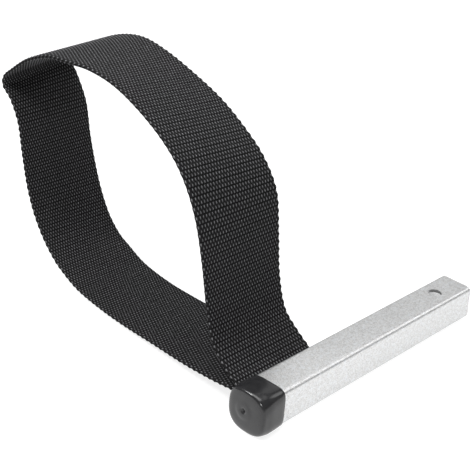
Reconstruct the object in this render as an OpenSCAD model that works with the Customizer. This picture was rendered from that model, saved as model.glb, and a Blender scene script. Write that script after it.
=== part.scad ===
// Strap-type oil filter wrench: a square steel tube handle, a vinyl cap pushed on one end,
// and a loop of wide webbing that comes out of a slot in the back of the tube.
// Origin: centre of the tube's underside. +X runs along the tube to the open drive end,
// +Y points the way the strap leaves the tube, +Z is up.

/* [Handle tube] */
// Outside width of the square tube
tube_side = 16; // [15.5:0.1:16.5]
// Wall thickness of the tube
tube_wall = 1.5; // [1.2:0.1:1.6]
// Length of the tube
tube_len = 127; // [110:1:160]
// Outside corner radius of the tube
tube_corner = 1.9; // [1.6:0.1:2.2]
// Diameter of the cross hole at the drive end
hole_d = 6.4; // [5:0.1:8]
// Distance from the drive end to the cross hole
hole_inset = 16; // [12:1:25]

/* [Strap slot] */
// Height of the slot in the back wall
slot_h = 4.8; // [4.6:0.1:5]
// Length of the straight part of the slot, from the capped end
slot_len = 42; // [42:1:50]

/* [Webbing] */
// Width of the webbing
strap_w = 40; // [30:1:40]
// Thickness of the webbing
strap_t = 1.8; // [1.4:0.1:1.8]
// Distance from the tube's capped end to the edge of the webbing
strap_inset = 1.3; // [1:0.1:2]

/* [End cap] */
// Wall thickness of the cap
cap_wall = 1.1; // [0.8:0.1:1.1]
// Length of tube that the cap covers
cap_cover = 10; // [9.5:0.5:14]
// Length of the cap beyond the end of the tube
cap_nose = 4.2; // [3.2:0.1:5]

/* [Retaining pin] */
// Diameter of the pin that holds the strap inside the tube
pin_d = 4; // [3.5:0.1:4]

/* [Hidden] */
$fn = 64;
eps = 0.01;

// Tube ends and bore
end_x = tube_len / 2;
cap_x = -tube_len / 2;
bore = tube_side - 2 * tube_wall;
bore_corner = 0.5;
axis_z = tube_side / 2;
back_y = tube_side / 2;

// The slot lies in the upper half of the back wall
slot_z = 11.9;

// The webbing lies along X between these two edges
strap_x0 = cap_x + strap_inset;
strap_x1 = strap_x0 + strap_w;

// Fold lines of the loop, as [y, z]. The four of them make a parallelogram, so the loop folds flat
// about them with its lower end still in the slot.
fold_slot = [9, 12];
fold_top = [49.5, 99];
fold_rear = [182.4, 93];
fold_low = fold_slot + fold_rear - fold_top;

// Distance from a fold line at which a run ends: the webbing bends in the gap
fold_gap = 2;
slot_gap = 3.5;

// The webbing's centre line, run by run, as [y, z]
front_path = [[9, 13], [17.5, 18.4], [24.7, 26.3], [28, 41], [29.6, 59], [32.1, 76.5], [39, 89.4], fold_top];
top_path = [fold_top, [64.5, 107.6], [83, 114.3], [101.5, 118], [118.3, 118.6], [135.8, 116.5], [154.4, 110.3],
            [171.9, 102.6], [180.3, 98], fold_rear];
rear_path = [fold_rear, [176.6, 86.6], [171.3, 75.6], [170.4, 59.6], [168.6, 43.8], [165, 30.3], [158.6, 18.3],
             [150, 10], fold_low];
low_path = [fold_low, [128, 1.4], [108, 0], [88, 0.7], [66, 2.6], [45, 4.6], [25, 7.7], [9, 11]];

// Anchor: the closed end of the loop goes round the pin, with the lap of the two ends behind it
pin_clear = 0.05;
bight_r = pin_d / 2 + pin_clear;
lap_r = bight_r + strap_t;
lap_from = 100;
lap_to = 285;
stitch_d = 0.7;
stitch_len = 2.4;
stitch_pitch = 3.6;
stitch_angles = [135, 180, 225];

// Cap
cap_fit = 0.1;
cap_side = tube_side + 2 * (cap_fit + cap_wall);
cap_corner = tube_corner + cap_fit + cap_wall;
rim_x = cap_x + cap_cover;
nose_x = cap_x - cap_nose;
notch_h = slot_h + 1;

// ---------- shared shapes ----------

// Square with exact round corners, centred
module round_square(side, r) {
    square([side - 2 * r, side], center = true);
    square([side, side - 2 * r], center = true);
    for (sy = [-1, 1], sz = [-1, 1])
        translate([sy * (side / 2 - r), sz * (side / 2 - r)]) circle(r);
}

// Puts a drawing in the Y-Z plane and extrudes it along X
module along_x(x0, x1) {
    translate([x0, 0, 0]) rotate([90, 0, 90]) linear_extrude(x1 - x0) children();
}

// Catmull-Rom point between b and c
function spline(a, b, c, d, t) =
    0.5 * (2 * b + (c - a) * t + (2 * a - 5 * b + 4 * c - d) * t * t + (3 * b - a - 3 * c + d) * t * t * t);

// Smooth line through the points of a path, with the path before and after it setting the end directions
function smooth(path, before, after, steps = 8) =
    let (p = concat([before], path, [after]))
    concat([for (i = [1 : len(p) - 3], k = [0 : steps - 1]) spline(p[i - 1], p[i], p[i + 1], p[i + 2], k / steps)],
           [path[len(path) - 1]]);

// Left-hand normal at point i of a line
function normal_at(line, i) =
    let (d = line[min(i + 1, len(line) - 1)] - line[max(i - 1, 0)])
    [-d[1], d[0]] / norm(d);

// Points of a line that lie further than a gap from each of its two fold lines
function clear_of(line, a, gap_a, b, gap_b) = [for (p = line) if (norm(p - a) > gap_a && norm(p - b) > gap_b) p];

// A run of webbing: the thickness drawn along its centre line
module webbing(line) {
    side = [for (s = [-1, 1]) [for (i = [0 : len(line) - 1]) line[i] + s * strap_t / 2 * normal_at(line, i)]];
    along_x(strap_x0, strap_x1)
        polygon(concat(side[0], [for (i = [len(line) - 1 : -1 : 0]) side[1][i]]));
}

// A straight strand, for the webbing inside the tube
module strand(a, b) {
    d = (b - a) / norm(b - a);
    n = [-d[1], d[0]] * strap_t / 2;
    polygon([a - n, b - n, b + n, a + n]);
}

// ---------- sub-parts ----------

module handle_tube() {
    color("silver") difference() {
        translate([0, 0, axis_z]) along_x(cap_x, end_x) round_square(tube_side, tube_corner);
        translate([0, 0, axis_z]) along_x(cap_x - 1, end_x + 1) round_square(bore, bore_corner);
        translate([end_x - hole_inset, 0, -1]) cylinder(d = hole_d, h = tube_side + 2);
        strap_slot();
    }
}

// Slot through the back wall, open at the capped end and round at the other
module strap_slot() {
    wall_y = back_y - tube_wall - 0.5;
    translate([cap_x - 1, wall_y, slot_z - slot_h / 2]) cube([slot_len + 1, tube_wall + 1.5, slot_h]);
    translate([cap_x + slot_len, wall_y, slot_z]) rotate([-90, 0, 0]) cylinder(d = slot_h, h = tube_wall + 1.5);
}

module retaining_pin() {
    chamfer = 0.5;
    color("gray") translate([strap_x0, 0, axis_z]) rotate([0, 90, 0]) rotate_extrude()
        polygon([[0, 0], [pin_d / 2 - chamfer, 0], [pin_d / 2, chamfer], [pin_d / 2, strap_w - chamfer],
                 [pin_d / 2 - chamfer, strap_w], [0, strap_w]]);
}

// Closed end of the loop round the pin: one layer all round, the lap of the two ends behind it,
// and the two strands that leave through the slot
module strap_anchor() {
    mid_r = bight_r + strap_t / 2;
    centre = [0, axis_z];
    upper_exit = [7, 12.9];
    lower_exit = [6.4, 10.95];
    color("dimgray") along_x(strap_x0, strap_x1) {
        difference() {
            union() {
                translate(centre) circle(lap_r);
                strand(centre + mid_r * [cos(105), sin(105)], upper_exit);
                strand(centre + mid_r * [cos(-40), sin(-40)], lower_exit);
            }
            translate(centre) circle(bight_r);
        }
        translate(centre) intersection() {
            difference() {
                circle(lap_r + strap_t);
                circle(lap_r - eps);
            }
            wedge(lap_from, lap_to, 2 * (lap_r + strap_t));
        }
    }
}

// Sector of the plane between two angles
module wedge(from, to, r) {
    steps = 6;
    polygon(concat([[0, 0]], [for (i = [0 : steps]) let (a = from + (to - from) * i / steps) r * [cos(a), sin(a)]]));
}

// Rows of thread that join the lap
module lap_stitching() {
    count = floor((strap_w - stitch_len) / stitch_pitch) + 1;
    first = (strap_x0 + strap_x1 - (count - 1) * stitch_pitch - stitch_len) / 2;
    color("black") for (a = stitch_angles, i = [0 : count - 1])
        translate([first + i * stitch_pitch, (lap_r + strap_t) * cos(a), axis_z + (lap_r + strap_t) * sin(a)])
            rotate([0, 90, 0]) cylinder(d = stitch_d, h = stitch_len, $fn = 16);
}

// Push-on cap: a square cup with a rounded closed end, notched at the back for the strap
module end_cap() {
    gap_d = 10;
    gap_depth = 1.8;
    color("black") difference() {
        cap_body();
        translate([0, 0, axis_z]) along_x(cap_x, rim_x + 1)
            round_square(tube_side + 2 * cap_fit, tube_corner + cap_fit);
        translate([cap_x - gap_depth, 0, axis_z]) rotate([0, 90, 0]) cylinder(d = gap_d, h = gap_depth + 1);
        translate([strap_x0 - 0.5, back_y - 1, slot_z - notch_h / 2])
            cube([cap_cover + 1, cap_wall + cap_fit + 2, notch_h]);
        translate([nose_x, 0, axis_z]) sphere(d = 2, $fn = 32);
    }
}

// Outside of the cap, with the same radius on its long corners and round its closed end
module cap_body() {
    c = cap_side / 2 - cap_corner;
    x_round = nose_x + cap_corner;
    translate([0, 0, axis_z]) {
        along_x(x_round, rim_x) round_square(cap_side, cap_corner);
        along_x(nose_x, x_round + eps) square(2 * c, center = true);
        for (a = [0 : 90 : 270]) rotate([a, 0, 0]) {
            translate([x_round, -c, c]) rotate([-90, 0, 0]) cylinder(r = cap_corner, h = 2 * c);
            translate([x_round, c, c]) sphere(cap_corner);
        }
    }
}

module strap_front_run() {
    line = smooth(front_path, front_path[0] - [4, 1], top_path[1]);
    color("dimgray") webbing(clear_of(line, fold_slot, slot_gap, fold_top, fold_gap));
}

module strap_top_run() {
    line = smooth(top_path, front_path[len(front_path) - 2], rear_path[1]);
    color("dimgray") webbing(clear_of(line, fold_top, fold_gap, fold_rear, fold_gap));
}

module strap_rear_run() {
    line = smooth(rear_path, top_path[len(top_path) - 2], low_path[1]);
    color("dimgray") webbing(clear_of(line, fold_rear, fold_gap, fold_low, fold_gap));
}

module strap_lower_run() {
    line = smooth(low_path, rear_path[len(rear_path) - 2], low_path[len(low_path) - 1] - [8, 0]);
    color("dimgray") webbing(clear_of(line, fold_low, fold_gap, fold_slot, slot_gap));
}

handle_tube();
retaining_pin();
strap_anchor();
lap_stitching();
end_cap();
strap_front_run();
strap_top_run();
strap_rear_run();
strap_lower_run();
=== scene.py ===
import math

import bmesh
import bpy
import numpy as np
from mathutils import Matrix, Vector


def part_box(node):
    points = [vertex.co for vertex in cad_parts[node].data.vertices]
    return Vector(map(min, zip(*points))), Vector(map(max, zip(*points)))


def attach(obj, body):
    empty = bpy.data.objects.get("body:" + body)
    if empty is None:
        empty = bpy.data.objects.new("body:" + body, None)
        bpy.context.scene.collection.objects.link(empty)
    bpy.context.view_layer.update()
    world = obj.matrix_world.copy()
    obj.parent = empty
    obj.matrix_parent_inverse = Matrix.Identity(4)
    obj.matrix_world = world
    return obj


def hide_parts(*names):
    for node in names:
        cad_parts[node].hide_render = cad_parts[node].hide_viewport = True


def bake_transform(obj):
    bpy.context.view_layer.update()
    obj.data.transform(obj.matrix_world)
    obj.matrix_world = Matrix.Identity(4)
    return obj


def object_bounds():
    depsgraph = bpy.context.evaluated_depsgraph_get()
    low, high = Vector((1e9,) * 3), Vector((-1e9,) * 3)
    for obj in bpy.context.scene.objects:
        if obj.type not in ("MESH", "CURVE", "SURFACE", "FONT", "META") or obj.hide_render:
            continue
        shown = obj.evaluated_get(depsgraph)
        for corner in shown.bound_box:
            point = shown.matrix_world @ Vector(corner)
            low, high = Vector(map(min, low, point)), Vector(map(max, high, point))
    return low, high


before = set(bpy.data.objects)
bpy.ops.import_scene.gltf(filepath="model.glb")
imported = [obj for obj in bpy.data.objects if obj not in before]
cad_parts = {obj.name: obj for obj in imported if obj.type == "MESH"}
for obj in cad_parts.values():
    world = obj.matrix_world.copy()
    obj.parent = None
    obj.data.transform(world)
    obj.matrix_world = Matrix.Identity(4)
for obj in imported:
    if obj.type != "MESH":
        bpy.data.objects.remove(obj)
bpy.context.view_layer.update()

# ---------------------------------------------------------------------------------------------
# Square tube handle. Drawn square steel tube with soft corners, sawn off square at both ends,
# with a slot milled in the back wall and a round hole drilled through two walls. Zinc plated.

tube_low, tube_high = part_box("handle_tube")
tube_len = tube_high.x - tube_low.x
tube_side = tube_high.z - tube_low.z
tube_mid = (tube_low + tube_high) / 2
tube_wall = 0.0015
tube_corner = 0.0019
hole_radius = 0.0032
hole_from_end = 0.016
slot_z = 0.0119
slot_height = 0.0048
slot_straight = 0.042
edge_break = 0.00022
burr_size = 0.00009


def start_box(name, low, high):
    """Adds a box between two corners as the only selected object, ready for edit mode."""
    bpy.ops.object.select_all(action="DESELECT")
    low, high = Vector(low), Vector(high)
    bpy.ops.mesh.primitive_cube_add(size=1, location=(low + high) / 2)
    box = bpy.context.object
    box.name = name
    box.scale = high - low
    bpy.ops.object.transform_apply(location=True, rotation=True, scale=True)
    return box


def pick(obj, kind, test):
    """In edit mode, selects only the vertices, edges or faces whose middle point and object pass a test."""
    bpy.ops.mesh.select_mode(type=kind)
    bpy.ops.mesh.select_all(action="DESELECT")
    bm = bmesh.from_edit_mesh(obj.data)
    for item in {"VERT": bm.verts, "EDGE": bm.edges, "FACE": bm.faces}[kind]:
        if kind == "VERT":
            middle = item.co
        else:
            middle = sum((v.co for v in item.verts), Vector()) / len(item.verts)
        if test(middle, item):
            item.select_set(True)
    bm.select_flush_mode()
    bmesh.update_edit_mesh(obj.data)


def runs_along(edge, axis):
    """True if an edge runs along one axis."""
    d = edge.verts[1].co - edge.verts[0].co
    return abs(d[axis]) > 0.999 * d.length


def cut_away(obj, tool):
    """Cuts one solid out of another and removes it."""
    cut = obj.modifiers.new("cut", "BOOLEAN")
    cut.object = tool
    cut.operation = "DIFFERENCE"
    cut.solver = "EXACT"
    apply_modifier(obj, cut)
    bpy.data.objects.remove(tool, do_unlink=True)


def apply_modifier(obj, modifier):
    """Applies a modifier to its own object, which becomes the only selected one."""
    bpy.ops.object.select_all(action="DESELECT")
    obj.select_set(True)
    bpy.context.view_layer.objects.active = obj
    bpy.ops.object.modifier_apply(modifier=modifier.name)


def smooth_shaded(obj, degrees):
    """Shades smooth across edges flatter than an angle."""
    bpy.ops.object.select_all(action="DESELECT")
    obj.select_set(True)
    bpy.context.view_layer.objects.active = obj
    bpy.ops.object.shade_smooth_by_angle(angle=math.radians(degrees))


def near(value, target, reach=1e-5):
    """True if two lengths are the same within a hundredth of a millimetre."""
    return abs(value - target) < reach


tube = start_box("square_tube", tube_low, tube_high)
bpy.ops.object.mode_set(mode="EDIT")
pick(tube, "EDGE", lambda middle, edge: runs_along(edge, 0))
bpy.ops.mesh.bevel(offset=tube_corner, segments=10, profile=0.5, affect="EDGES")
pick(tube, "FACE", lambda middle, face: abs(face.normal.x) > 0.9)
bpy.ops.mesh.delete(type="FACE")
bpy.ops.object.mode_set(mode="OBJECT")

walls = tube.modifiers.new("walls", "SOLIDIFY")
walls.thickness = tube_wall
walls.offset = -1
walls.use_even_offset = True
apply_modifier(tube, walls)

bpy.ops.object.select_all(action="DESELECT")
bpy.ops.mesh.primitive_cylinder_add(
    vertices=64, radius=hole_radius, depth=2 * tube_side,
    location=(tube_high.x - hole_from_end, tube_mid.y, tube_mid.z))
cut_away(tube, bpy.context.object)

slot_tool = start_box(
    "slot_tool",
    (tube_low.x - 0.001, tube_high.y - tube_wall - 0.0005, slot_z - slot_height / 2),
    (tube_low.x + slot_straight + slot_height / 2, tube_high.y + 0.001, slot_z + slot_height / 2))
slot_far_x = tube_low.x + slot_straight + slot_height / 2
bpy.ops.object.mode_set(mode="EDIT")
pick(slot_tool, "EDGE", lambda middle, edge: runs_along(edge, 1) and near(middle.x, slot_far_x))
bpy.ops.mesh.bevel(offset=slot_height / 2 * 0.999, segments=12, profile=0.5, affect="EDGES")
bpy.ops.object.mode_set(mode="OBJECT")
cut_away(tube, slot_tool)

breaks = tube.modifiers.new("breaks", "BEVEL")
breaks.width = edge_break
breaks.segments = 2
breaks.limit_method = "ANGLE"
breaks.angle_limit = math.radians(50)
breaks.use_clamp_overlap = True
apply_modifier(tube, breaks)

# The saw leaves both ends a little uneven
bpy.ops.object.mode_set(mode="EDIT")
pick(tube, "VERT", lambda middle, vert: abs(middle.x - tube_mid.x) > tube_len / 2 - 1.5 * edge_break)
bpy.ops.transform.vertex_random(offset=burr_size, uniform=0.0, normal=0.0, seed=3)
bpy.ops.object.mode_set(mode="OBJECT")
smooth_shaded(tube, 35)
flat_sides = tube.modifiers.new("flat_sides", "WEIGHTED_NORMAL")
flat_sides.keep_sharp = True
apply_modifier(tube, flat_sides)


def new_material(name):
    """A new material. Returns it with its nodes, its links and its Principled shader."""
    material = bpy.data.materials.new(name)
    material.use_nodes = True
    tree = material.node_tree
    return material, tree.nodes, tree.links, tree.nodes["Principled BSDF"]


def noise(nodes, links, vector, scale, detail=3.0, roughness=0.55):
    """A noise texture on a vector, with its size set in waves per metre."""
    node = nodes.new("ShaderNodeTexNoise")
    node.inputs["Scale"].default_value = scale
    node.inputs["Detail"].default_value = detail
    node.inputs["Roughness"].default_value = roughness
    links.new(vector, node.inputs["Vector"])
    return node


def remap(nodes, links, value, low, high, from_low=0.0, from_high=1.0):
    """Maps a value from one range to another."""
    node = nodes.new("ShaderNodeMapRange")
    node.inputs["From Min"].default_value = from_low
    node.inputs["From Max"].default_value = from_high
    node.inputs["To Min"].default_value = low
    node.inputs["To Max"].default_value = high
    links.new(value, node.inputs["Value"])
    return node.outputs["Result"]


def blend_colours(nodes, links, factor, a, b):
    """Mixes two colours, each a tuple or a socket, by a factor socket."""
    node = nodes.new("ShaderNodeMix")
    node.data_type = "RGBA"
    links.new(factor, node.inputs["Factor"])
    colour_inputs = [s for s in node.inputs if s.type == "RGBA"]
    for socket, colour in zip(colour_inputs, (a, b)):
        if isinstance(colour, tuple):
            socket.default_value = (*colour, 1.0)
        else:
            links.new(colour, socket)
    return [s for s in node.outputs if s.type == "RGBA"][0]


def bump(nodes, links, height, distance, strength=1.0):
    """A bump of a given depth in metres."""
    node = nodes.new("ShaderNodeBump")
    node.inputs["Strength"].default_value = strength
    node.inputs["Distance"].default_value = distance
    links.new(height, node.inputs["Height"])
    return node.outputs["Normal"]


def plated_grain_group():
    """Fine crystalline grain over broad cloudy patches, for plated and drawn steel."""
    group = bpy.data.node_groups.new("plated_grain", "ShaderNodeTree")
    group.interface.new_socket("Vector", in_out="INPUT", socket_type="NodeSocketVector")
    group.interface.new_socket("Grain", in_out="OUTPUT", socket_type="NodeSocketFloat")
    group.interface.new_socket("Cloud", in_out="OUTPUT", socket_type="NodeSocketFloat")
    group.interface.new_socket("Tint", in_out="OUTPUT", socket_type="NodeSocketFloat")
    nodes, links = group.nodes, group.links
    start = nodes.new("NodeGroupInput")
    end = nodes.new("NodeGroupOutput")
    vector = start.outputs["Vector"]
    links.new(noise(nodes, links, vector, 1900, 4, 0.7).outputs["Fac"], end.inputs["Grain"])
    links.new(noise(nodes, links, vector, 260, 3, 0.6).outputs["Fac"], end.inputs["Cloud"])
    links.new(noise(nodes, links, vector, 640, 2, 0.5).outputs["Fac"], end.inputs["Tint"])
    return group


plated_grain = plated_grain_group()


def steel(name, dark, light, roughness_low, roughness_high):
    """Plated or drawn steel with the shared grain in its colour, roughness and surface."""
    material, nodes, links, shader = new_material(name)
    where = nodes.new("ShaderNodeTexCoord")
    grain = nodes.new("ShaderNodeGroup")
    grain.node_tree = plated_grain
    links.new(where.outputs["Object"], grain.inputs["Vector"])
    cloudy = blend_colours(
        nodes, links, remap(nodes, links, grain.outputs["Grain"], 0, 1, 0.32, 0.68), dark, light)
    cool = tuple(c * k for c, k in zip(light, (0.95, 0.985, 1.03)))
    tinted = blend_colours(
        nodes, links, remap(nodes, links, grain.outputs["Tint"], 0, 0.5, 0.45, 0.7), cloudy, cool)
    links.new(tinted, shader.inputs["Base Color"])
    links.new(
        remap(nodes, links, grain.outputs["Cloud"], roughness_low, roughness_high, 0.3, 0.7),
        shader.inputs["Roughness"])
    links.new(bump(nodes, links, grain.outputs["Grain"], 0.00004, 0.5), shader.inputs["Normal"])
    shader.inputs["Metallic"].default_value = 0.85
    return material


def paint(obj, material):
    """Gives an object one material."""
    obj.data.materials.clear()
    obj.data.materials.append(material)


zinc = steel("zinc_plate", (0.45, 0.45, 0.45), (0.82, 0.82, 0.815), 0.40, 0.46)
paint(tube, zinc)
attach(tube, "handle")
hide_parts("handle_tube")

# ---------------------------------------------------------------------------------------------
# Retaining pin. A drawn steel rod with chamfered ends that lies across the closed end of the
# strap, inside the tube. The strap and pin together are too thick to pull out through the slot.

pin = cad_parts["retaining_pin"]
drawn = steel("drawn_rod", (0.36, 0.36, 0.365), (0.56, 0.56, 0.56), 0.28, 0.40)
paint(pin, drawn)

# ---------------------------------------------------------------------------------------------
# Strap. One length of heavy black webbing, 40 mm wide, woven with warp yarns that float over thick
# picks. It goes round the pin, out through the slot, round in a loop and back in. It is made in
# lengths that meet between the bends, so that each length takes in one of the bends.

strap_low, strap_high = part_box("strap_top_run")
pin_low, pin_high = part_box("retaining_pin")
web_thick = 0.0018
web_half = (strap_high.x - strap_low.x) / 2
web_mid_x = (strap_high.x + strap_low.x) / 2
yarns = 56
yarn_pitch = 2 * web_half / yarns
repeat = 0.0034
rows_per_repeat = 8
selvedge = 0.0009
scallop = 0.00036
proud = 0.00012
float_rise = 0.00013
yarn_round = 0.00011
pit_depth = 0.00024
groove_depth = 0.00016
groove_width = 0.07
pit_width = 0.11

fold_top = (0.0495, 0.099)
fold_rear = (0.1824, 0.093)
fold_low = (0.1419, 0.006)

# Each point of the middle line is (y, z), or (y, z, y, z) where the webbing leans: the second pair is
# how far its capped-end edge stands off the middle line there, and the other edge goes the other way.
inner_line = [
    (0.0084, 0.0111), (0.0074, 0.0111), (0.0056, 0.0099), (0.00226, 0.0061)]
pin_y = (pin_low.y + pin_high.y) / 2
pin_z = (pin_low.z + pin_high.z) / 2
bight = (pin_high.z - pin_low.z) / 2 + 0.00005 + web_thick / 2
for degrees in range(-65, -256, -19):
    angle = math.radians(degrees)
    inner_line.append((pin_y + bight * math.cos(angle), pin_z + bight * math.sin(angle)))
inner_line += [(0.0035, 0.01195), (0.0065, 0.01268)]

front_line = [
    (0.009, 0.013), (0.0175, 0.0184), (0.0247, 0.0263, -0.0003, 0.0006), (0.028, 0.041, -0.0008, 0.0004),
    (0.0296, 0.059, -0.0003, 0.0002), (0.0321, 0.0765, 0.0006, 0.0), (0.039, 0.0894, 0.0001, 0.0009)]
top_line = [
    (*fold_top, -0.0007, 0.0016), (0.0645, 0.1076, -0.0008, 0.0017), (0.083, 0.1143, -0.0008, 0.0017),
    (0.1015, 0.118, -0.0010, 0.0002), (0.1183, 0.1186, -0.0008, -0.0014), (0.1358, 0.1165, -0.0008, -0.0009),
    (0.1544, 0.1103, -0.0006, -0.0007), (0.1719, 0.1026, -0.0012, -0.0018),
    (0.1803, 0.098, -0.0015, -0.0022)]
rear_line = [
    (*fold_rear, -0.0017, -0.0022), (0.1766, 0.0866, -0.0018, -0.0007), (0.1713, 0.0756, -0.0015, -0.0001),
    (0.1704, 0.0596, -0.0011, 0.0001), (0.1686, 0.0438, -0.0002, 0.0001), (0.165, 0.0303),
    (0.1586, 0.0183, -0.0003, 0.0003), (0.150, 0.010, -0.0003, 0.0003)]
low_line = [
    fold_low, (0.128, 0.0014, 0.0, 0.0003), (0.108, 0.0, 0.0, 0.0006), (0.088, 0.0007, 0.0, 0.0006),
    (0.066, 0.0026, 0.0, 0.0006), (0.045, 0.0046, 0.0, 0.0003), (0.025, 0.0077), (0.009, 0.011)]
middle_line = [(*p, 0.0, 0.0)[:4] for p in inner_line + front_line + top_line + rear_line + low_line]


def smooth_line(points, steps=24):
    """Fine points on a smooth line through the given ones (Catmull-Rom), and how far along each is."""
    p = np.array([points[0], *points, points[-1]], float)
    t = np.arange(steps)[:, None] / steps
    parts = []
    for a, b, c, d in zip(p, p[1:], p[2:], p[3:]):
        parts.append(0.5 * (2 * b + (c - a) * t + (2 * a - 5 * b + 4 * c - d) * t ** 2
                            + (3 * b - a - 3 * c + d) * t ** 3))
    line = np.vstack(parts + [p[-2:-1]])
    steps_yz = np.diff(line[:, :2], axis=0)
    along = np.concatenate([[0], np.cumsum(np.linalg.norm(steps_yz, axis=1))])
    return line, along


strap_line, strap_along = smooth_line(middle_line)


def along_at(point):
    """Distance along the strap's middle line at a point that the line passes through, past the pin."""
    gap = np.linalg.norm(strap_line[:, :2] - np.array(point), axis=1)
    return strap_along[gap.argmin()]


def whole_repeats(distance):
    """The nearest whole number of weave repeats, as a distance."""
    return round(distance / repeat) * repeat


def weave_height(column, along, outer):
    """Height of the woven face against its highest level, and how far it rises (0 pit, 1 top of a float).

    Each second column lies on a yarn and the others between two. The yarns float by turns, so the
    floats make a chequered grid. Each repeat has a row of pits between floats and one straight groove."""
    phase = along / repeat
    on_yarn = column % 2 == 1
    turn = np.where((column // 2) % 2 == 0, 1.0, -1.0) * np.where(outer, 1.0, -1.0)
    floats = np.where(on_yarn, turn * np.cos(2 * np.pi * phase), 0.0)
    from_groove = (phase - 0.25 + 0.5) % 1 - 0.5
    from_pits = (phase - 0.75 + 0.5) % 1 - 0.5
    groove = np.exp(-(from_groove / groove_width) ** 2)
    in_pit = np.where(column % 4 == 0, 1.0, np.where(on_yarn, 0.25, 0.0))
    pits = np.exp(-(from_pits / pit_width) ** 2) * in_pit
    drop = (float_rise * (1 - floats) + np.where(on_yarn, 0, yarn_round)
            + groove_depth * groove + pit_depth * pits)
    deepest = 2 * float_rise + yarn_round + pit_depth
    return -drop, np.clip(1 - drop / deepest, 0, 1)


def webbing_length(name, line, along, start, end):
    """One closed length of webbing between two distances along a line, its woven relief in the mesh."""
    rows = round((end - start) / repeat * rows_per_repeat)
    across = 2 * yarns
    bpy.ops.object.select_all(action="DESELECT")
    bpy.ops.mesh.primitive_grid_add(x_subdivisions=2 * across, y_subdivisions=rows, size=1)
    web = bpy.context.object
    web.name = name
    flat = np.empty(len(web.data.vertices) * 3)
    web.data.vertices.foreach_get("co", flat)
    flat = flat.reshape(-1, 3)
    column = np.rint((flat[:, 0] + 0.5) * 2 * across).astype(int)
    row = np.rint((flat[:, 1] + 0.5) * rows).astype(int)

    outer = column <= across
    face_column = np.where(outer, column, 2 * across - column)
    distance = start + row * (end - start) / rows
    y = np.interp(distance, along, line[:, 0])
    z = np.interp(distance, along, line[:, 1])
    step = repeat / rows_per_repeat
    dy = np.interp(distance + step, along, line[:, 0]) - np.interp(distance - step, along, line[:, 0])
    dz = np.interp(distance + step, along, line[:, 1]) - np.interp(distance - step, along, line[:, 1])
    size = np.hypot(dy, dz)
    normal_y, normal_z = -dz / size, dy / size

    u = face_column / across * 2 - 1
    height, rise = weave_height(face_column, distance, outer)
    to_edge = web_half * (1 - np.abs(u))
    round_off = np.sqrt(np.clip(1 - (1 - np.clip(to_edge / selvedge, 0, 1)) ** 2, 0, 1))
    half = (web_thick / 2 + proud + height) * round_off
    offset = np.where(outer, half, -half)
    edge_share = np.clip(1 - to_edge / (2 * selvedge), 0, 1)
    side_phase = np.where(u < 0, 0.0, np.pi)
    wave = edge_share * (scallop / 2 * np.cos(2 * np.pi * distance / repeat + side_phase) + proud)
    x = web_mid_x + u * web_half + np.sign(u) * wave

    lean_y = -u * np.interp(distance, along, line[:, 2])
    lean_z = -u * np.interp(distance, along, line[:, 3])
    shape = np.stack([x, y + lean_y + normal_y * offset, z + lean_z + normal_z * offset], axis=1)
    web.data.vertices.foreach_set("co", shape.astype(np.float32).ravel())
    # The webbing material paints shade into the pits and a highlight onto the float tops from this level.
    level = web.data.attributes.new("weave_level", "FLOAT", "POINT")
    level.data.foreach_set("value", rise.astype(np.float32))

    corners = np.empty(len(web.data.loops), int)
    web.data.loops.foreach_get("vertex_index", corners)
    flat_uv = np.stack([column * yarn_pitch / 2, distance], axis=1)[corners]
    web.data.uv_layers[0].name = "along_web"
    web.data.uv_layers[0].data.foreach_set("uv", flat_uv.astype(np.float32).ravel())
    web.data.update()

    bpy.ops.object.mode_set(mode="EDIT")
    bpy.ops.mesh.select_all(action="SELECT")
    bpy.ops.mesh.remove_doubles(threshold=1e-6)
    bpy.ops.mesh.select_all(action="SELECT")
    bpy.ops.mesh.fill_holes(sides=0)
    bpy.ops.mesh.select_all(action="SELECT")
    bpy.ops.mesh.normals_make_consistent(inside=False)
    bpy.ops.object.mode_set(mode="OBJECT")
    smooth_shaded(web, 60)
    return web


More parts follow.
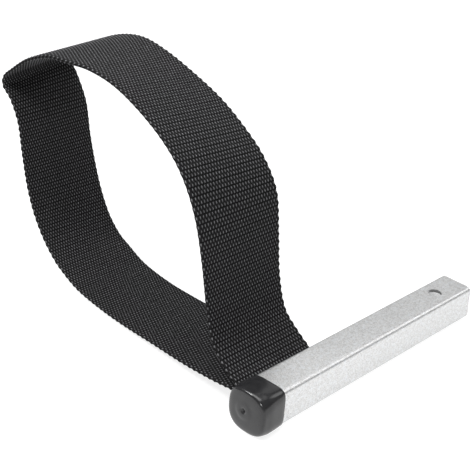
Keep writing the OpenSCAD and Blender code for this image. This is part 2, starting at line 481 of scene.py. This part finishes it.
def webbing_material():
    """Black nylon webbing with fine fibres along each yarn: painted shade leaves it near black in the pits
    and between floats, and a painted highlight makes the float tops pale.
    """
    material, nodes, links, shader = new_material("black_webbing")
    level = nodes.new("ShaderNodeAttribute")
    level.attribute_name = "weave_level"
    own_uv = nodes.new("ShaderNodeUVMap")
    own_uv.uv_map = "along_web"
    stretch = nodes.new("ShaderNodeMapping")
    stretch.inputs["Scale"].default_value = (1.0, 0.16, 1.0)
    links.new(own_uv.outputs["UV"], stretch.inputs["Vector"])
    fibres = noise(nodes, links, stretch.outputs["Vector"], 9000, 2, 0.6).outputs["Fac"]
    patches = noise(nodes, links, own_uv.outputs["UV"], 420, 3, 0.6).outputs["Fac"]
    # Painted shade and highlight by weave height: near black in the pits and between floats, pale on the
    # float tops.
    ramp = nodes.new("ShaderNodeValToRGB")
    links.new(level.outputs["Fac"], ramp.inputs["Fac"])
    pit_shade_float_highlight_tones = ((0.0, 0.0002), (0.5, 0.0016), (0.64, 0.011), (0.82, 0.058), (1.0, 0.21))
    while len(ramp.color_ramp.elements) < len(pit_shade_float_highlight_tones):
        ramp.color_ramp.elements.new(0.5)
    for element, (place, tone) in zip(ramp.color_ramp.elements, pit_shade_float_highlight_tones):
        element.position = place
        element.color = (tone, tone, tone * 1.04, 1)
    shade = nodes.new("ShaderNodeMath")
    shade.operation = "MULTIPLY"
    links.new(remap(nodes, links, fibres, 0.7, 1.35, 0.3, 0.7), shade.inputs[0])
    links.new(remap(nodes, links, patches, 0.75, 1.25, 0.3, 0.7), shade.inputs[1])
    tinted = nodes.new("ShaderNodeVectorMath")
    tinted.operation = "SCALE"
    links.new(ramp.outputs["Color"], tinted.inputs[0])
    links.new(shade.outputs[0], tinted.inputs["Scale"])
    links.new(tinted.outputs["Vector"], shader.inputs["Base Color"])
    links.new(remap(nodes, links, patches, 0.66, 0.80, 0.3, 0.7), shader.inputs["Roughness"])
    links.new(bump(nodes, links, fibres, 0.00003, 0.6), shader.inputs["Normal"])
    shader.inputs["Specular IOR Level"].default_value = 0.09
    return material


webbing = webbing_material()
along_top = along_at(fold_top)
along_rear = along_at(fold_rear)
along_low = along_at(fold_low)
along_exit = along_at(front_line[0])
cut_front = whole_repeats((along_exit + along_top) / 2)
cut_top = whole_repeats((along_top + along_rear) / 2)
rear_cut_share = 0.72
cut_rear = whole_repeats(along_rear + rear_cut_share * (along_low - along_rear))
strap_end = strap_along[-1]
bend_reach = 0.017


def bend_ends(point, before, after):
    """Two points of the strap's plane, a set way before and after a fold, in the run's direction there."""
    d = Vector((0, after[0] - before[0], after[1] - before[1])).normalized() * bend_reach
    at = Vector((web_mid_x, point[0], point[1]))
    return at - d, at + d


lengths = [
    ("webbing_slot_to_front", 0.0, cut_front, ("handle", "front_run"),
     (Vector((web_mid_x, 0.008, 0.0125)), Vector((web_mid_x, 0.020, 0.020))),
     ("strap_anchor", "strap_front_run")),
    ("webbing_front_to_top", cut_front, cut_top, ("front_run", "top_run"),
     bend_ends(fold_top, front_line[-1], top_line[1]), ("strap_front_run", "strap_top_run")),
    ("webbing_top_to_rear", cut_top, cut_rear, ("top_run", "rear_run"),
     bend_ends(fold_rear, top_line[-2], rear_line[1]), ("strap_top_run", "strap_rear_run")),
    ("webbing_rear_to_slot", cut_rear, strap_end, ("rear_run", "lower_run"),
     bend_ends(fold_low, rear_line[-1], low_line[1]), ("strap_rear_run", "strap_lower_run")),
]
for name, start, end, bodies, (bend_from, bend_to), nodes_replaced in lengths:
    web = webbing_length(name, strap_line, strap_along, start, end)
    paint(web, webbing)
    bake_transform(web)
    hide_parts(*nodes_replaced)

# The strap's other end lies over the first behind the pin, sewn to it
lap_radius = bight + web_thick
lap_points = [(pin_y + lap_radius * math.cos(math.radians(a)),
               pin_z + lap_radius * math.sin(math.radians(a)), 0.0, 0.0) for a in range(285, 99, -5)]
lap_line, lap_along = smooth_line(lap_points)
lap = webbing_length("webbing_lap", lap_line, lap_along, 0.0, lap_along[-1])
paint(lap, webbing)
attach(lap, "handle")
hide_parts("strap_anchor")

# ---------------------------------------------------------------------------------------------
# Lap stitching. Short stitches of thick nylon thread in three rows that hold the two ends of the
# strap together behind the pin.

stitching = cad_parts["lap_stitching"]


def thread_material():
    """Black bonded nylon thread with its twist."""
    material, nodes, links, shader = new_material("black_thread")
    where = nodes.new("ShaderNodeTexCoord")
    twist = nodes.new("ShaderNodeMapping")
    twist.inputs["Rotation"].default_value = (0, math.radians(35), 0)
    links.new(where.outputs["Object"], twist.inputs["Vector"])
    strands = nodes.new("ShaderNodeTexWave")
    strands.inputs["Scale"].default_value = 900
    strands.inputs["Distortion"].default_value = 1.5
    links.new(twist.outputs["Vector"], strands.inputs["Vector"])
    tone = blend_colours(nodes, links, strands.outputs["Fac"], (0.008, 0.008, 0.008), (0.04, 0.04, 0.042))
    links.new(tone, shader.inputs["Base Color"])
    shader.inputs["Roughness"].default_value = 0.5
    links.new(bump(nodes, links, strands.outputs["Fac"], 0.00008), shader.inputs["Normal"])
    return material


paint(stitching, thread_material())

# ---------------------------------------------------------------------------------------------
# End cap. A soft black vinyl cup, dip moulded in one piece, square at the rim and rounder at its flat
# end, with a dimple there where it left the mould. It is stretched over the tube, a little askew.

cap_low, cap_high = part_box("end_cap")
cap_y = (cap_low.y + cap_high.y) / 2
cap_z = (cap_low.z + cap_high.z) / 2
cap_sides = 96
nose_half = 0.00957
nose_from_x = -0.0614
nose_length = 0.0049
face_flatness = 4.6
edge_sharpness = 8.5
face_squareness = 2.4
side_squareness = 3.6
face_shift = (-0.0004, 0.0008)
rim_half = 0.0087
rim_squareness = 5.5
rim_x = -0.0538
lip_round = 0.0003
cap_wall = 0.00068
cap_bore = 0.0081
tilt_y = -0.093
tilt_z = 0.089
dimple_at = (0.0005, 0.0009)
dimple_radius = 0.0009
dimple_depth = 0.0011
boss_radius = 0.0036
boss_height = 0.0003
boss_soften = 0.0004
flat_share = 0.7
face_rings = 32
edge_rings = 12
notch_height = 0.0058
inner_rim_squareness = 6.2
bore_squareness = 7.0
bore_from_x = -0.0570
bore_end_radius = 0.0045


def face_sink(y, z):
    """How far the end face is pressed in: the dimple, in the middle of a low round boss."""
    away = math.hypot(y - dimple_at[0], z - dimple_at[1])
    boss = boss_height / (1 + math.exp((away - boss_radius) / boss_soften))
    return dimple_depth * math.exp(-(away / dimple_radius) ** 2) - boss


def place_ring(obj, half, squareness, x, shift=(0.0, 0.0), sunk=False):
    """Puts the selected loop on a rounded square about the cap's axis. Squareness 2 is a circle.

    Every ring leans the same way, because the cap isn't pushed on quite straight."""
    bm = bmesh.from_edit_mesh(obj.data)
    ring = [v for v in bm.verts if v.select]
    middle = sum((v.co for v in ring), Vector()) / len(ring)
    for vert in ring:
        angle = math.atan2(vert.co.z - middle.z, vert.co.y - middle.y)
        c, s = math.cos(angle), math.sin(angle)
        radius = half / (abs(c) ** squareness + abs(s) ** squareness) ** (1 / squareness)
        y, z = radius * c + shift[0], radius * s + shift[1]
        sink = face_sink(y, z) if sunk else 0.0
        vert.co = (x + tilt_y * y + tilt_z * z + sink, cap_y + y, cap_z + z)
    bmesh.update_edit_mesh(obj.data)


# From the middle of the end face outwards: how far out each ring is, and how far forward
nose_rings = []
for i in range(face_rings):
    out = flat_share * (i + 1) / face_rings
    nose_rings.append((out, (1 - out ** face_flatness) ** (1 / edge_sharpness)))
edge_turn = math.asin(flat_share ** (face_flatness / 2))
for i in range(1, edge_rings):
    turn = edge_turn + (math.pi / 2 - edge_turn) * i / edge_rings
    nose_rings.append((math.sin(turn) ** (2 / face_flatness), math.cos(turn) ** (2 / edge_sharpness)))
nose_rings += [(1.0, 0.5), (1.0, 0.3), (1.0, 0.15), (1.0, 0.0)]

bpy.ops.object.select_all(action="DESELECT")
bpy.ops.mesh.primitive_circle_add(
    vertices=cap_sides, radius=nose_half * flat_share / face_rings, fill_type="TRIFAN",
    rotation=(0, math.radians(-90), 0), location=(0, cap_y, cap_z))
cap = bpy.context.object
cap.name = "vinyl_cap"
bpy.ops.object.transform_apply(location=True, rotation=True, scale=True)
bpy.ops.object.mode_set(mode="EDIT")
for vert in bmesh.from_edit_mesh(cap.data).verts:
    y, z = vert.co.y - cap_y + face_shift[0], vert.co.z - cap_z + face_shift[1]
    vert.co = (nose_from_x - nose_length + tilt_y * y + tilt_z * z + face_sink(y, z), cap_y + y, cap_z + z)
bmesh.update_edit_mesh(cap.data)
pick(cap, "EDGE", lambda middle, edge: len(edge.link_faces) == 1)
for out, forward in nose_rings[1:]:
    bpy.ops.mesh.extrude_edges_move()
    shift = tuple(d * forward ** 4 for d in face_shift)
    squareness = side_squareness + (face_squareness - side_squareness) * forward
    place_ring(cap, nose_half * out, squareness, nose_from_x - nose_length * forward, shift, sunk=True)

# Along the sides to the rim, round its lip, back down the inside and across the inner end
for share in (0.25, 0.5, 0.75, 0.95):
    bpy.ops.mesh.extrude_edges_move()
    place_ring(cap, nose_half + (rim_half - nose_half) * share,
               side_squareness + (rim_squareness - side_squareness) * share,
               nose_from_x + (rim_x - nose_from_x) * share)
for half, squareness, x in (
        (rim_half - 0.3 * lip_round, rim_squareness, rim_x - 0.3 * lip_round),
        (rim_half - lip_round, rim_squareness, rim_x),
        (rim_half - cap_wall, inner_rim_squareness, rim_x - 0.3 * lip_round),
        (cap_bore, bore_squareness, bore_from_x),
        (cap_bore, bore_squareness, tube_low.x),
        (bore_end_radius, 2.0, tube_low.x - 0.0001)):
    bpy.ops.mesh.extrude_edges_move()
    place_ring(cap, half, squareness, x)
bpy.ops.mesh.fill_holes(sides=0)
bpy.ops.mesh.select_all(action="SELECT")
bpy.ops.mesh.remove_doubles(threshold=1e-6)
bpy.ops.mesh.select_all(action="SELECT")
bpy.ops.mesh.normals_make_consistent(inside=False)
bpy.ops.object.mode_set(mode="OBJECT")

notch_tool = start_box(
    "notch_tool",
    (strap_low.x - 0.0005, cap_high.y - 0.0022, slot_z - notch_height / 2),
    (cap_high.x + 0.002, cap_high.y + 0.001, slot_z + notch_height / 2))
cut_away(cap, notch_tool)
smooth_shaded(cap, 40)


def vinyl_material():
    """Semi-gloss dipped vinyl with a faint orange peel."""
    material, nodes, links, shader = new_material("black_vinyl")
    where = nodes.new("ShaderNodeTexCoord")
    cloud = noise(nodes, links, where.outputs["Object"], 300, 3, 0.6).outputs["Fac"]
    peel = noise(nodes, links, where.outputs["Object"], 900, 2, 0.5).outputs["Fac"]
    tone = blend_colours(
        nodes, links, remap(nodes, links, cloud, 0, 1, 0.3, 0.7),
        (0.013, 0.013, 0.014), (0.020, 0.020, 0.021))
    links.new(tone, shader.inputs["Base Color"])
    links.new(remap(nodes, links, cloud, 0.16, 0.22, 0.3, 0.7), shader.inputs["Roughness"])
    links.new(bump(nodes, links, peel, 0.00002, 0.2), shader.inputs["Normal"])
    return material


paint(cap, vinyl_material())
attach(cap, "cap")
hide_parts("end_cap")

# ---------------------------------------------------------------------------------------------
# Studio. A plain white bench top that glows enough to lose its shadows, a wide soft light overhead,
# smaller ones all round, and a narrow one that draws the bright line on the cap's edge.

shown_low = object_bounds()[0]
bpy.ops.object.select_all(action="DESELECT")
bpy.ops.mesh.primitive_plane_add(size=6, location=(0, 0.08, shown_low.z))
floor = bpy.context.object
floor.name = "bench_top"
floor_material, _, _, floor_shader = new_material("white_bench")
floor_shader.inputs["Base Color"].default_value = (0.35, 0.35, 0.35, 1)
floor_shader.inputs["Roughness"].default_value = 0.9
floor_shader.inputs["Specular IOR Level"].default_value = 0.0
floor_shader.inputs["Emission Color"].default_value = (1, 1, 1, 1)
floor_shader.inputs["Emission Strength"].default_value = 0.78
paint(floor, floor_material)


def softbox(name, position, target, width, height, power):
    """A rectangular soft light that faces a point."""
    bpy.ops.object.light_add(type="AREA", location=position)
    light = bpy.context.object
    light.name = name
    light.data.shape = "RECTANGLE"
    light.data.size = width
    light.data.size_y = height
    light.data.energy = power
    aim = Vector(target) - Vector(position)
    light.rotation_euler = aim.to_track_quat("-Z", "Y").to_euler()
    return light


loop_middle = (0, 0.08, 0.05)
softbox("overhead", (-0.15, 0.10, 0.95), loop_middle, 0.9, 0.9, 11)
softbox("front_fill", (-0.75, -0.55, 0.50), loop_middle, 0.18, 0.18, 3)
softbox("side_fill", (0.62, -0.32, 0.66), loop_middle, 0.5, 0.4, 1.5)
softbox("back_fill", (0.55, 0.62, 0.62), loop_middle, 0.7, 0.7, 0.7)
softbox("edge_strip", (-0.56, 0.42, 0.78), (-0.06, 0, 0.01), 0.16, 0.10, 4)

world = bpy.data.worlds.new("studio")
world.use_nodes = True
world.node_tree.nodes["Background"].inputs["Color"].default_value = (1, 1, 1, 1)
world.node_tree.nodes["Background"].inputs["Strength"].default_value = 0.22
bpy.context.scene.world = world
bpy.context.scene.view_settings.view_transform = "Standard"

camera_down = 28.22
camera_turn = 40.46
bpy.ops.object.camera_add(
    location=(-0.2413, -0.1999, 0.2279),
    rotation=(math.radians(90 - camera_down), 0, math.radians(-camera_turn)))
camera = bpy.context.object
camera.name = "studio_camera"
camera.data.lens = 67.8
camera.data.sensor_width = 36
bpy.context.scene.camera = camera
